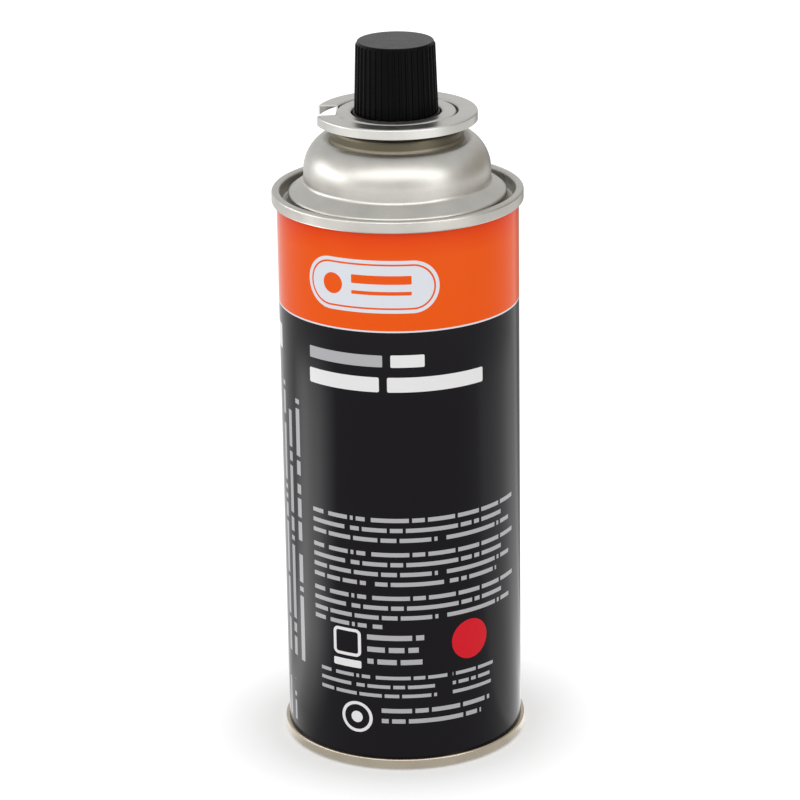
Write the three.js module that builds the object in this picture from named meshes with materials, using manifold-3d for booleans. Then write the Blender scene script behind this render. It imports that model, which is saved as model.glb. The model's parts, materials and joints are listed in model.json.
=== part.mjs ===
// Fuel canister with a notched collar, a press valve and a ribbed cap.
// Millimetres, +Z up. The origin is the centre of the standing ring, and the notch faces -X.

import * as THREE from "three";
import { mergeVertices } from "three/addons/utils/BufferGeometryUtils.js";
import Module from "manifold-3d";

const wasm = await Module();
wasm.setup();

// Roundness of the revolved pieces
const CAN_SEGMENTS = 42;
const VALVE_SEGMENTS = 20;
const ARC_STEP = THREE.MathUtils.degToRad(46);
const SMALL_ROUND = 0.7;
const DOME_STEP = THREE.MathUtils.degToRad(13);

// Can body and its two seams
const BODY_R = 33;
const CAN_HEIGHT = 158.3;
const BASE_SEAM_R = 34.1;
const BASE_SEAM_H = 3;
const TOP_SEAM_R = 34.3;
const TOP_SEAM_H = 3.4;
const SEAM_W = 2.2;
const SEAM_ROUND = 0.8;

// Concave base inside the standing ring
const BASE_WALL_H = 4.4;
const BASE_PANEL_R = 30;
const BASE_PANEL_RISE = 4.5;

// Groove inside the top seam, then the sloping shelf that carries the dome
const GROOVE_DEPTH = 4;
const GROOVE_W = 2.1;
const SEAM_WALL_LEAN = 0.2;
const SHELF_EDGE_DROP = 0.3;
const SHELF_RISE = 3.1;
const SHELF_ROUND = 2;
const DOME_FOOT_ROUND = 1.1;

// Bulbous dome, the crease behind its crest, and the straight neck
const BULB_R = 25.5;
const BULB_WAIST_RISE = 5.1;
const BULB_ARC_R = 10.9;
const CREST_RISE = 14.2;
const CREST_ARC_R = 2.5;
const NECK_R = 18.2;
const NECK_RISE = 4.3;
const NECK_ROUND = 0.6;

// Mouth, its rolled bead, and the gas space that the valve hangs in
const MOUTH_R = 12.7;
const BEAD_W = 2.7;
const BEAD_H = 2.3;
const BEAD_ROUND = 0.8;
const GAS_SPACE_R = 21.5;
const GAS_SPACE_TOP_DROP = 5.6;
const GAS_SPACE_SLOPE = 2.4;
const GAS_SPACE_DEPTH = 18;

// Notched collar, a pressing with a lip under the cup's curl
const COLLAR_SHEET = 0.45;
const COLLAR_R = 22;
const COLLAR_H = 3.06;
const COLLAR_SKIRT_H = 2.71;
const COLLAR_ROUND = 0.6;
const LIP_CLEARANCE = 0.1;
const CURL_TO_COLLAR = 0.45;
const NOTCH_OUTER_W = 11.9;
const NOTCH_INNER_W = 10.6;
const NOTCH_AZIMUTH = 179.1;
const NOTCH_KERB = 0.25;

// Valve cup, a pressing that wraps the mouth bead
const CUP_SHEET = 0.4;
const CUP_CLEARANCE = 0.2;
const CURL_CLEARANCE = 0.5;
const CURL_ROUND = 1;
const RECESS_DEPTH = 5.5;
const RECESS_ROUND = 0.8;
const PEDESTAL_R = 5.6;
const PEDESTAL_H = 6.3;
const PEDESTAL_ROUND = 0.6;
const PEDESTAL_HOLE_R = 2.4;
const CLINCH_DEPTH = 0.3;
const CLINCH_H = 1;
const CLINCH_SLOPE = 0.5;
const CLINCH_RISE = 3.6;

// Gaskets
const CUP_GASKET_T = 0.3;
const CUP_GASKET_INSET = 0.2;
const STEM_GASKET_T = 1;

// Valve housing and the bent tube on its tail
const HOUSING_CLEARANCE = 0.1;
const HOUSING_BODY_H = 11.2;
const CHAMBER_R = 3.3;
const CHAMBER_FLOOR_T = 1.6;
const TAIL_R = 1.5;
const TAIL_BORE_R = 0.7;
const TAIL_L = 5.5;
const TUBE_WALL = 0.65;
const TUBE_CLEARANCE = 0.07;
const TUBE_DROP = 8;
const TUBE_BEND_R = 5;
const TUBE_REACH = 19.5;
const TUBE_SIDES = 8;
const TUBE_STEPS = 14;

// Valve stem
const STEM_R = 2;
const STEM_BORE_R = 0.9;
const STEM_ABOVE_PEDESTAL = 4;
const STEM_SEAL_CLEARANCE = 0.05;
const HEAD_CLEARANCE = 0.4;
const HEAD_H = 2.6;
const HEAD_TO_GASKET = 0.1;
const SPIGOT_R = 1.2;
const SPIGOT_L = 2.3;
const ORIFICE_R = 0.35;
const STEM_EDGE_ROUND = 0.3;

// Valve spring
const SPRING_WIRE_R = 0.25;
const SPRING_CLEARANCE = 0.4;
const SPRING_TURNS = 5.5;
const SPRING_DEAD_TURNS = 0.75;
const SPRING_END_GAP = 0.05;
const SPRING_STEPS_PER_TURN = 12;
const SPRING_SIDES = 5;

// Ribbed cap, plugged into the cup's recess
const CAP_TOP_ABOVE_COLLAR = 19.1;
const CAP_FOOT_R = 11.4;
const CAP_HEAD_R = 10.8;
const CAP_ROUND = 0.7;
const CAP_WALL = 0.95;
const CAP_TOP_T = 1.2;
const CAP_INNER_ROUND = 0.5;
const CAP_RING_CLEARANCE = 0.3;
const CAP_RING_H = 1.7;
const CAP_RING_ROUND = 0.35;
const CAP_RING_DROP = 0.25;
const CAP_PLUG_INSET = 0.2;
const RIB_COUNT = 38;
const RIB_DEPTH = 0.42;
const STEPS_PER_RIB = 3;

// Heights that follow from the sizes above
const crestZ = CAN_HEIGHT + CREST_RISE;
const neckTopZ = crestZ + NECK_RISE;
const beadR = MOUTH_R + BEAD_W;
const beadTopZ = neckTopZ + BEAD_H;
const lipTopZ = neckTopZ + COLLAR_SHEET;
const collarTopZ = neckTopZ + COLLAR_H;
const curlTopZ = beadTopZ + CUP_GASKET_T + CUP_SHEET;
const curlR = beadR + CURL_CLEARANCE + CUP_SHEET;
const recessR = MOUTH_R - CUP_CLEARANCE - CUP_SHEET;
const recessFloorZ = curlTopZ - RECESS_DEPTH;
const pedestalTopZ = recessFloorZ + PEDESTAL_H;
const pedestalBoreR = PEDESTAL_R - CUP_SHEET;
const clinchZ = recessFloorZ - CUP_SHEET + CLINCH_RISE;
const collarBoreR = curlR + CURL_TO_COLLAR;
const stemGasketTopZ = pedestalTopZ - CUP_SHEET;
const housingTopZ = stemGasketTopZ - STEM_GASKET_T;
const housingBottomZ = housingTopZ - HOUSING_BODY_H;
const chamberFloorZ = housingBottomZ + CHAMBER_FLOOR_T;
const headTopZ = housingTopZ - HEAD_TO_GASKET;
const headBottomZ = headTopZ - HEAD_H;
const stemTopZ = pedestalTopZ + STEM_ABOVE_PEDESTAL;

const TINPLATE = { color: 0xc4c0b8, metalness: 0.9, roughness: 0.32 };
const LACQUER = { color: 0x1d191e, metalness: 0.1, roughness: 0.2 };
const CAP_PLASTIC = { color: 0x161618, metalness: 0, roughness: 0.45 };
const RUBBER = { color: 0x202224, metalness: 0, roughness: 0.8 };
const ACETAL = { color: 0xece9e0, metalness: 0, roughness: 0.4 };
const SPRING_STEEL = { color: 0xb9bcc0, metalness: 1, roughness: 0.3 };

const model = new THREE.Group();

function addPiece(name, geometry, finish) {
  const mesh = new THREE.Mesh(geometry, new THREE.MeshStandardMaterial(finish));
  mesh.name = name;
  model.add(mesh);
}

// Points of an arc in a section, in degrees from +r towards +z.
function arc(centreR, centreZ, radius, fromDeg, toDeg, step) {
  const from = THREE.MathUtils.degToRad(fromDeg);
  const to = THREE.MathUtils.degToRad(toDeg);
  const count = Math.max(1, Math.ceil(Math.abs(to - from) / step));
  const points = [];
  for (let i = 0; i <= count; i += 1) {
    const angle = from + ((to - from) * i) / count;
    const r = centreR + radius * Math.cos(angle);
    points.push([r, centreZ + radius * Math.sin(angle)]);
  }
  return points;
}

// A section is a list of corners [r, z, rounding radius], and each rounded corner becomes an arc.
// A rounding is limited to what its two edges have room for, and a small one is a single flat.
function roundedSection(corners) {
  const points = [];
  corners.forEach(([r, z, radius = 0], i) => {
    const here = new THREE.Vector2(r, z);
    if (radius === 0) {
      points.push(here);
      return;
    }
    const back = new THREE.Vector2(...corners[i - 1].slice(0, 2)).sub(here);
    const ahead = new THREE.Vector2(...corners[i + 1].slice(0, 2)).sub(here);
    const room = Math.min(back.length(), ahead.length()) / 2;
    back.normalize();
    ahead.normalize();
    const half = Math.acos(THREE.MathUtils.clamp(back.dot(ahead), -1, 1)) / 2;
    const reach = Math.min(radius / Math.tan(half), room);
    const radiusUsed = reach * Math.tan(half);
    const towards = back.clone().add(ahead).normalize();
    const centre = here.clone().addScaledVector(towards, radiusUsed / Math.sin(half));
    const start = here.clone().addScaledVector(back, reach).sub(centre);
    const turn = -Math.sign(back.cross(ahead)) * (Math.PI - 2 * half);
    const count = radius < SMALL_ROUND ? 1 : Math.max(1, Math.ceil(Math.abs(turn) / ARC_STEP));
    for (let k = 0; k <= count; k += 1) {
      const spoke = start.clone().rotateAround(new THREE.Vector2(), (turn * k) / count);
      points.push(centre.clone().add(spoke));
    }
  });
  return points;
}

// Revolves a section about Z. It runs anticlockwise, from axis to axis or back to its own start.
function revolve(section, segments) {
  const points = section.map((p) => (p.isVector2 ? p : new THREE.Vector2(...p)));
  const onAxis = points[0].x === 0 && points[points.length - 1].x === 0;
  if (!onAxis) {
    points.push(points[0].clone());
  }
  return new THREE.LatheGeometry(points, segments).rotateX(Math.PI / 2);
}

function toSolid(geometry) {
  const bare = geometry.clone();
  bare.deleteAttribute("normal");
  bare.deleteAttribute("uv");
  const merged = mergeVertices(bare, 1e-5);
  const mesh = new wasm.Mesh({
    numProp: 3,
    vertProperties: new Float32Array(merged.attributes.position.array),
    triVerts: new Uint32Array(merged.index.array),
  });
  return new wasm.Manifold(mesh);
}

function toGeometry(solid) {
  const { vertProperties, triVerts } = solid.getMesh();
  const geometry = new THREE.BufferGeometry();
  geometry.setAttribute("position", new THREE.BufferAttribute(vertProperties, 3));
  geometry.setIndex(new THREE.BufferAttribute(triVerts, 1));
  return geometry;
}

// Sealed can: base, seams, shelf, dome, neck and mouth in one outline, with the gas space under the mouth.
function canGeometry() {
  const seamInnerR = TOP_SEAM_R - SEAM_W;
  const seamBottomZ = CAN_HEIGHT - TOP_SEAM_H;
  const grooveZ = CAN_HEIGHT - GROOVE_DEPTH;
  const grooveInnerR = seamInnerR - SEAM_WALL_LEAN - GROOVE_W;
  const shelfEdgeZ = CAN_HEIGHT - SHELF_EDGE_DROP;
  const panelSphereR = (BASE_PANEL_R ** 2 + BASE_PANEL_RISE ** 2) / (2 * BASE_PANEL_RISE);
  const panelHalfDeg = THREE.MathUtils.radToDeg(Math.asin(BASE_PANEL_R / panelSphereR));
  const panelCentreZ = BASE_WALL_H + BASE_PANEL_RISE - panelSphereR;
  const panelStep = THREE.MathUtils.degToRad(panelHalfDeg / 4);
  const basePanel = arc(0, panelCentreZ, panelSphereR, 90, 90 - panelHalfDeg, panelStep);
  basePanel[0][0] = 0;

  const baseInnerR = BASE_SEAM_R - SEAM_W;
  const lower = roundedSection([
    basePanel[basePanel.length - 1],
    [baseInnerR - SEAM_WALL_LEAN, BASE_WALL_H, SEAM_ROUND],
    [baseInnerR, 0, SEAM_ROUND / 2],
    [BASE_SEAM_R, 0, SEAM_ROUND],
    [BASE_SEAM_R, BASE_SEAM_H, SEAM_ROUND],
    [BODY_R, BASE_SEAM_H],
    [BODY_R, seamBottomZ],
    [TOP_SEAM_R, seamBottomZ, SEAM_ROUND / 2],
    [TOP_SEAM_R, CAN_HEIGHT, SEAM_ROUND],
    [seamInnerR, CAN_HEIGHT, SEAM_ROUND],
    [seamInnerR - SEAM_WALL_LEAN, grooveZ, SEAM_ROUND],
    [grooveInnerR, grooveZ, SEAM_ROUND],
    [grooveInnerR, shelfEdgeZ, SHELF_ROUND],
    [BULB_R, shelfEdgeZ + SHELF_RISE, DOME_FOOT_ROUND],
    [BULB_R, CAN_HEIGHT + BULB_WAIST_RISE],
  ]);

  // The bulb's wide arc runs into the small arc of its crest with one tangent.
  const bulbCentreR = BULB_R - BULB_ARC_R;
  const bulbCentreZ = CAN_HEIGHT + BULB_WAIST_RISE;
  const join = Math.asin((crestZ - bulbCentreZ - CREST_ARC_R) / (BULB_ARC_R - CREST_ARC_R));
  const joinDeg = THREE.MathUtils.radToDeg(join);
  const crestCentreR = bulbCentreR + (BULB_ARC_R - CREST_ARC_R) * Math.cos(join);
  const crestCentreZ = crestZ - CREST_ARC_R;
  const creaseDeg = THREE.MathUtils.radToDeg(Math.acos((NECK_R - crestCentreR) / CREST_ARC_R));
  const bulb = arc(bulbCentreR, bulbCentreZ, BULB_ARC_R, 0, joinDeg, DOME_STEP);
  const crest = arc(crestCentreR, crestCentreZ, CREST_ARC_R, joinDeg, creaseDeg, ARC_STEP / 2);

  const gasTopZ = crestZ - GAS_SPACE_TOP_DROP;
  const gasFloorZ = gasTopZ - GAS_SPACE_DEPTH;
  const upper = roundedSection([
    crest[crest.length - 1],
    [NECK_R, neckTopZ, NECK_ROUND],
    [beadR, neckTopZ],
    [beadR, beadTopZ, BEAD_ROUND],
    [MOUTH_R, beadTopZ, BEAD_ROUND],
    [MOUTH_R, gasTopZ + GAS_SPACE_SLOPE],
    [GAS_SPACE_R, gasTopZ],
    [GAS_SPACE_R, gasFloorZ],
    [0, gasFloorZ],
  ]);
  const section = [...basePanel.slice(0, -1), ...lower, ...bulb.slice(1), ...crest.slice(1, -1), ...upper];
  return revolve(section, CAN_SEGMENTS);
}

// Half the notch's width at a distance from the axis: its sides open a little outwards.
function notchHalfWidth(distance) {
  const t = (distance - collarBoreR) / (COLLAR_R - collarBoreR);
  return THREE.MathUtils.lerp(NOTCH_INNER_W, NOTCH_OUTER_W, t) / 2;
}

function notchPrism(innerDistance, bottomZ) {
  const outerDistance = COLLAR_R + COLLAR_SHEET;
  const plan = new THREE.Shape([
    new THREE.Vector2(innerDistance, -notchHalfWidth(innerDistance)),
    new THREE.Vector2(outerDistance, -notchHalfWidth(outerDistance)),
    new THREE.Vector2(outerDistance, notchHalfWidth(outerDistance)),
    new THREE.Vector2(innerDistance, notchHalfWidth(innerDistance)),
  ]);
  const depth = collarTopZ + COLLAR_SHEET - bottomZ;
  const prism = new THREE.ExtrudeGeometry(plan, { depth, bevelEnabled: false });
  prism.rotateZ(THREE.MathUtils.degToRad(NOTCH_AZIMUTH));
  return toSolid(prism.translate(0, 0, bottomZ));
}

// Notched collar: lip, inner wall, flat flange and turned-down skirt, all of one sheet.
function collarGeometry() {
  const wallR = collarBoreR + COLLAR_SHEET;
  const flangeUnderZ = collarTopZ - COLLAR_SHEET;
  const skirtBottomZ = collarTopZ - COLLAR_SKIRT_H;
  const lipR = beadR + LIP_CLEARANCE;
  const innerRound = COLLAR_ROUND - COLLAR_SHEET;
  const ring = revolve(roundedSection([
    [lipR, neckTopZ],
    [wallR, neckTopZ, COLLAR_ROUND],
    [wallR, flangeUnderZ, innerRound],
    [COLLAR_R - COLLAR_SHEET, flangeUnderZ, innerRound],
    [COLLAR_R - COLLAR_SHEET, skirtBottomZ],
    [COLLAR_R, skirtBottomZ],
    [COLLAR_R, collarTopZ, COLLAR_ROUND],
    [collarBoreR, collarTopZ, COLLAR_ROUND],
    [collarBoreR, lipTopZ, innerRound],
    [lipR, lipTopZ],
  ]), CAN_SEGMENTS);
  const throughFlange = notchPrism((wallR + COLLAR_R - COLLAR_SHEET) / 2, neckTopZ - COLLAR_SHEET);
  const throughWall = notchPrism(lipR - COLLAR_SHEET, lipTopZ + NOTCH_KERB);
  return toGeometry(toSolid(ring).subtract(throughFlange).subtract(throughWall));
}

// Valve cup: curl, recess and clinched pedestal, all of one sheet.
function cupGeometry() {
  const underCurlZ = curlTopZ - CUP_SHEET;
  const recessOuterR = recessR + CUP_SHEET;
  const curlInnerRound = CURL_ROUND - CUP_SHEET;
  const clinchLowZ = clinchZ - CLINCH_SLOPE;
  const clinchHighZ = clinchZ + CLINCH_H;
  return revolve(roundedSection([
    [PEDESTAL_HOLE_R, stemGasketTopZ],
    [pedestalBoreR, stemGasketTopZ, PEDESTAL_ROUND - CUP_SHEET],
    [pedestalBoreR, clinchHighZ + CLINCH_SLOPE],
    [pedestalBoreR - CLINCH_DEPTH, clinchHighZ],
    [pedestalBoreR - CLINCH_DEPTH, clinchZ],
    [pedestalBoreR, clinchLowZ],
    [pedestalBoreR, recessFloorZ - CUP_SHEET, RECESS_ROUND],
    [recessOuterR, recessFloorZ - CUP_SHEET, RECESS_ROUND + CUP_SHEET],
    [recessOuterR, underCurlZ, curlInnerRound],
    [curlR - CUP_SHEET, underCurlZ, curlInnerRound],
    [curlR - CUP_SHEET, lipTopZ],
    [curlR, lipTopZ],
    [curlR, curlTopZ, CURL_ROUND],
    [recessR, curlTopZ, CURL_ROUND],
    [recessR, recessFloorZ, RECESS_ROUND],
    [PEDESTAL_R, recessFloorZ, RECESS_ROUND - CUP_SHEET],
    [PEDESTAL_R, clinchLowZ],
    [PEDESTAL_R - CLINCH_DEPTH, clinchZ],
    [PEDESTAL_R - CLINCH_DEPTH, clinchHighZ],
    [PEDESTAL_R, clinchHighZ + CLINCH_SLOPE],
    [PEDESTAL_R, pedestalTopZ, PEDESTAL_ROUND],
    [PEDESTAL_HOLE_R, pedestalTopZ],
  ]), CAN_SEGMENTS);
}

function flatRing(innerR, outerR, bottomZ, topZ, segments) {
  return revolve([[innerR, bottomZ], [outerR, bottomZ], [outerR, topZ], [innerR, topZ]], segments);
}

function cupGasketGeometry() {
  const rounding = CURL_ROUND - CUP_SHEET;
  const innerR = recessR + CUP_SHEET + rounding + CUP_GASKET_INSET / 2;
  const outerR = curlR - CUP_SHEET - rounding - CUP_GASKET_INSET / 2;
  return flatRing(innerR, outerR, beadTopZ, beadTopZ + CUP_GASKET_T, CAN_SEGMENTS);
}

function stemGasketGeometry() {
  const outerR = pedestalBoreR - (PEDESTAL_ROUND - CUP_SHEET);
  return flatRing(STEM_R + STEM_SEAL_CLEARANCE, outerR, housingTopZ, stemGasketTopZ, VALVE_SEGMENTS);
}

// Valve housing: the chamber for stem and spring, a waist where the pedestal is clinched, and the tail.
function housingGeometry() {
  const bodyR = pedestalBoreR - HOUSING_CLEARANCE;
  const waistR = bodyR - CLINCH_DEPTH - HOUSING_CLEARANCE / 2;
  const tailZ = housingBottomZ - TAIL_L;
  return revolve(roundedSection([
    [TAIL_BORE_R, tailZ],
    [TAIL_R, tailZ],
    [TAIL_R, housingBottomZ],
    [bodyR, housingBottomZ, CHAMBER_FLOOR_T],
    [bodyR, clinchZ - CLINCH_SLOPE],
    [waistR, clinchZ],
    [waistR, clinchZ + CLINCH_H],
    [bodyR, clinchZ + CLINCH_H + CLINCH_SLOPE],
    [bodyR, housingTopZ],
    [CHAMBER_R, housingTopZ],
    [CHAMBER_R, chamberFloorZ],
    [TAIL_BORE_R, chamberFloorZ],
  ]), VALVE_SEGMENTS);
}

// Valve stem: a blind-bored tube with a side hole at the gasket, a head, and a spigot for the spring.
function stemGeometry() {
  const headR = CHAMBER_R - HEAD_CLEARANCE;
  const orificeZ = housingTopZ + STEM_GASKET_T / 2;
  const boreFloorZ = orificeZ - 2 * ORIFICE_R;
  const body = revolve(roundedSection([
    [0, headBottomZ - SPIGOT_L],
    [SPIGOT_R, headBottomZ - SPIGOT_L, STEM_EDGE_ROUND],
    [SPIGOT_R, headBottomZ],
    [headR, headBottomZ],
    [headR, headTopZ],
    [STEM_R, headTopZ],
    [STEM_R, stemTopZ, STEM_EDGE_ROUND],
    [STEM_BORE_R, stemTopZ],
    [STEM_BORE_R, boreFloorZ],
    [0, boreFloorZ],
  ]), VALVE_SEGMENTS);
  const drill = new THREE.CylinderGeometry(ORIFICE_R, ORIFICE_R, STEM_R + ORIFICE_R, 12);
  drill.rotateZ(Math.PI / 2).translate((STEM_R + ORIFICE_R) / 2, 0, orificeZ);
  return toGeometry(toSolid(body).subtract(toSolid(drill)));
}

// Helix whose pitch fades to nothing over the dead turns at both ends.
class SpringLine extends THREE.Curve {
  constructor(radius, bottomZ, topZ) {
    super();
    Object.assign(this, { radius, bottomZ, topZ });
  }

  getPoint(t, target = new THREE.Vector3()) {
    const dead = SPRING_DEAD_TURNS / SPRING_TURNS;
    const share = THREE.MathUtils.smoothstep(t, dead / 2, 1 - dead / 2);
    const angle = 2 * Math.PI * SPRING_TURNS * t;
    const wireRise = 2 * SPRING_WIRE_R * SPRING_DEAD_TURNS;
    const endRise = wireRise * (Math.min(t, dead) + Math.max(t - 1 + dead, 0)) / dead;
    const activeRise = this.topZ - this.bottomZ - 2 * wireRise;
    const z = this.bottomZ + endRise + activeRise * share;
    return target.set(this.radius * Math.cos(angle), this.radius * Math.sin(angle), z);
  }
}

function circlePlan(radius, sides) {
  const points = [];
  for (let i = 0; i < sides; i += 1) {
    const angle = (2 * Math.PI * i) / sides;
    points.push(new THREE.Vector2(radius * Math.cos(angle), radius * Math.sin(angle)));
  }
  return points;
}

function springGeometry() {
  const lineR = CHAMBER_R - SPRING_CLEARANCE - SPRING_WIRE_R;
  const endOffset = SPRING_END_GAP + SPRING_WIRE_R;
  const line = new SpringLine(lineR, chamberFloorZ + endOffset, headBottomZ - endOffset);
  const steps = Math.round(SPRING_TURNS * SPRING_STEPS_PER_TURN);
  const wire = new THREE.Shape(circlePlan(SPRING_WIRE_R, SPRING_SIDES));
  return new THREE.ExtrudeGeometry(wire, { steps, extrudePath: line });
}

// Vapour tube: pushed over the tail, down, and round towards the notch.
function vapourTubeGeometry() {
  const boreR = (TAIL_R + TUBE_CLEARANCE) / Math.cos(Math.PI / TUBE_SIDES);
  const top = housingBottomZ - TUBE_CLEARANCE;
  const bend = top - TUBE_DROP;
  const route = new THREE.CurvePath();
  route.add(new THREE.LineCurve3(new THREE.Vector3(0, 0, top), new THREE.Vector3(0, 0, bend)));
  route.add(new THREE.QuadraticBezierCurve3(
    new THREE.Vector3(0, 0, bend),
    new THREE.Vector3(0, 0, bend - TUBE_BEND_R),
    new THREE.Vector3(TUBE_BEND_R, 0, bend - TUBE_BEND_R),
  ));
  route.add(new THREE.LineCurve3(
    new THREE.Vector3(TUBE_BEND_R, 0, bend - TUBE_BEND_R),
    new THREE.Vector3(TUBE_REACH, 0, bend - TUBE_BEND_R),
  ));
  const wall = new THREE.Shape(circlePlan(boreR + TUBE_WALL, TUBE_SIDES));
  wall.holes.push(new THREE.Path(circlePlan(boreR, TUBE_SIDES).reverse()));
  const tube = new THREE.ExtrudeGeometry(wall, { steps: TUBE_STEPS, extrudePath: route });
  return tube.rotateZ(THREE.MathUtils.degToRad(NOTCH_AZIMUTH));
}

// Cap: a thin cup upside down, whose outer wall rows are pulled in between the ribs.
function capGeometry() {
  const topZ = collarTopZ + CAP_TOP_ABOVE_COLLAR;
  const ringR = recessR - CAP_RING_CLEARANCE;
  const ringTopZ = curlTopZ - CAP_RING_DROP;
  const plugR = CAP_FOOT_R - CAP_PLUG_INSET;
  const ceilingZ = topZ - CAP_TOP_T;
  const ribTopZ = topZ - CAP_ROUND;
  const wall = RIB_DEPTH + CAP_WALL;
  const topRound = arc(CAP_HEAD_R - CAP_ROUND, ribTopZ, CAP_ROUND, 30, 90, ARC_STEP);
  const section = [
    ...roundedSection([
      [0, ceilingZ],
      [CAP_HEAD_R - wall, ceilingZ, CAP_INNER_ROUND],
      [CAP_FOOT_R - wall, recessFloorZ],
      [plugR, recessFloorZ],
      [plugR, ringTopZ - CAP_RING_H],
      [ringR, ringTopZ - CAP_RING_H],
      [ringR, ringTopZ, CAP_RING_ROUND],
      [CAP_FOOT_R, ringTopZ],
    ]),
    new THREE.Vector2(CAP_HEAD_R, ribTopZ),
    ...topRound.map((point) => new THREE.Vector2(...point)),
    new THREE.Vector2(0, topZ),
  ];
  const geometry = revolve(section, RIB_COUNT * STEPS_PER_RIB);
  pullInGrooves(geometry, ringTopZ, ribTopZ);
  return geometry;
}

// Moves the outer wall's foot and head rows inwards, except at each rib's ridge.
function pullInGrooves(geometry, footZ, headZ) {
  const position = geometry.attributes.position;
  const tolerance = 1e-3;
  const wallRows = [[CAP_FOOT_R, footZ], [CAP_HEAD_R, headZ]];
  for (let i = 0; i < position.count; i += 1) {
    const x = position.getX(i);
    const y = position.getY(i);
    const z = position.getZ(i);
    const r = Math.hypot(x, y);
    const onWall = wallRows.some(([rowR, rowZ]) => Math.hypot(r - rowR, z - rowZ) < tolerance);
    const step = Math.round((Math.atan2(y, x) / (2 * Math.PI) + 1) * RIB_COUNT * STEPS_PER_RIB);
    if (onWall && step % STEPS_PER_RIB !== 0) {
      const scale = (r - RIB_DEPTH) / r;
      position.setXY(i, x * scale, y * scale);
    }
  }
}

addPiece("can", canGeometry(), LACQUER);
addPiece("notched_collar", collarGeometry(), TINPLATE);
addPiece("valve_cup", cupGeometry(), TINPLATE);
addPiece("cup_gasket", cupGasketGeometry(), RUBBER);
addPiece("stem_gasket", stemGasketGeometry(), RUBBER);
addPiece("valve_housing", housingGeometry(), ACETAL);
addPiece("vapour_tube", vapourTubeGeometry(), ACETAL);
addPiece("valve_spring", springGeometry(), SPRING_STEEL);
addPiece("valve_stem", stemGeometry(), ACETAL);
addPiece("cap", capGeometry(), CAP_PLASTIC);

export default model;
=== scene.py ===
import json
import math

import bmesh
import bpy
from mathutils import Matrix, Vector

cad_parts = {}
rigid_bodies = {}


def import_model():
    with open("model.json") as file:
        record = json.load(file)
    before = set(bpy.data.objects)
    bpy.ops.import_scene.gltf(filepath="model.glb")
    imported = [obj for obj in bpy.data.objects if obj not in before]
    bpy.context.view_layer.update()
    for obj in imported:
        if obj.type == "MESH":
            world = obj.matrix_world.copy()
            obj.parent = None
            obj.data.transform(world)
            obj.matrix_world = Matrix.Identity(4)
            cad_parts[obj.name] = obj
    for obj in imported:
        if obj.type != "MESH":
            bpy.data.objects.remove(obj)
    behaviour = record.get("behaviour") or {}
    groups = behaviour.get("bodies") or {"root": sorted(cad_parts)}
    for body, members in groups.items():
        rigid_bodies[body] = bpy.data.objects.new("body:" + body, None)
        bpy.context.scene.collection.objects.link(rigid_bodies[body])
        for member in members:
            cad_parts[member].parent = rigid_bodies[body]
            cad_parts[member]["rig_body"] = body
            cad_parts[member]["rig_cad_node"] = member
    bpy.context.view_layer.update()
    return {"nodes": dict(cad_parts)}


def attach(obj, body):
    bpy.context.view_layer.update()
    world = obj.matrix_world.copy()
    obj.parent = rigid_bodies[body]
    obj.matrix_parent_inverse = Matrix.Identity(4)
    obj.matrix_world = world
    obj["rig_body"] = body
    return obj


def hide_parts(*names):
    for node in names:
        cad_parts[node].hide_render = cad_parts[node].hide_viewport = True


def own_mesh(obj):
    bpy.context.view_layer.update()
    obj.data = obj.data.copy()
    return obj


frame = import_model()

# Fuel canister: printed body, bare dome and seams, notched collar, valve and ribbed cap.
# Sizes are in millimetres here and become metres where a mesh is made. The front is -Y, the notch is at -X.
# In a name, R is a radius, W a width, H a height and Z a height above the floor.
MM = 0.001

# Roundness of the turned pieces
CAN_STEPS = 192
VALVE_STEPS = 96
ROUND_STEPS = 5
BULB_STEPS = 18
CREST_STEPS = 12
PANEL_STEPS = 12
SMOOTH_ANGLE = math.radians(34)

# Modelling limits in metres: points nearer than these are one point
SAME_POINT = 1e-7
WELD = 2e-6
COIL_WELD = 1e-6
# The most of a side that one rounding may take, and the most that the normal of a wall's face rises
ROUNDING_SHARE = 0.499
WALL_RISE = 0.2

# Can
BODY_R = 33.0
BODY_SHEET = 0.3
BODY_LAP = 1.2
CAN_H = 158.3
BASE_SEAM_R = 34.1
BASE_SEAM_H = 3.0
TOP_SEAM_R = 34.3
TOP_SEAM_H = 3.4
SEAM_W = 2.2
SEAM_ROUND = 0.8
SEAM_FOOT_ROUND = 0.4
BASE_SEAM_TOP_ROUND = 0.5
SEAM_GAP = 0.06
END_SHEET = 0.35
COUNTERSINK_LEAN = 0.2
COUNTERSINK_ROUND = 0.8
BASE_WALL_H = 4.4
BASE_PANEL_R = 30.0
BASE_PANEL_RISE = 4.5
GROOVE_FLOOR_Z = CAN_H - 4.0
GROOVE_INNER_R = 29.8
SHELF_EDGE_Z = CAN_H - 0.8
SHELF_RISE = 3.1
SHELF_ROUND = 1.2
BULB_R = 25.5
BULB_CENTRE_Z = CAN_H + 5.1
BULB_ARC_R = 10.9
CREST_Z = CAN_H + 14.2
CREST_ARC_R = 2.5
NECK_R = 18.2
NECK_WAIST_R = 17.95
NECK_WAIST_H = 1.6
NECK_WAIST_ROUND = 2.0
NECK_SHOULDER_R = 16.6
NECK_SHOULDER_ROUND = 0.6
DOME_FOOT_ROUND = 1.3
NECK_TOP_Z = CREST_Z + 4.3
MOUTH_R = 12.7
BEAD_R = 15.4
BEAD_TOP_Z = NECK_TOP_Z + 2.3
BEAD_ROUND = 0.8
MOUTH_DEPTH = 6.0

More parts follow.
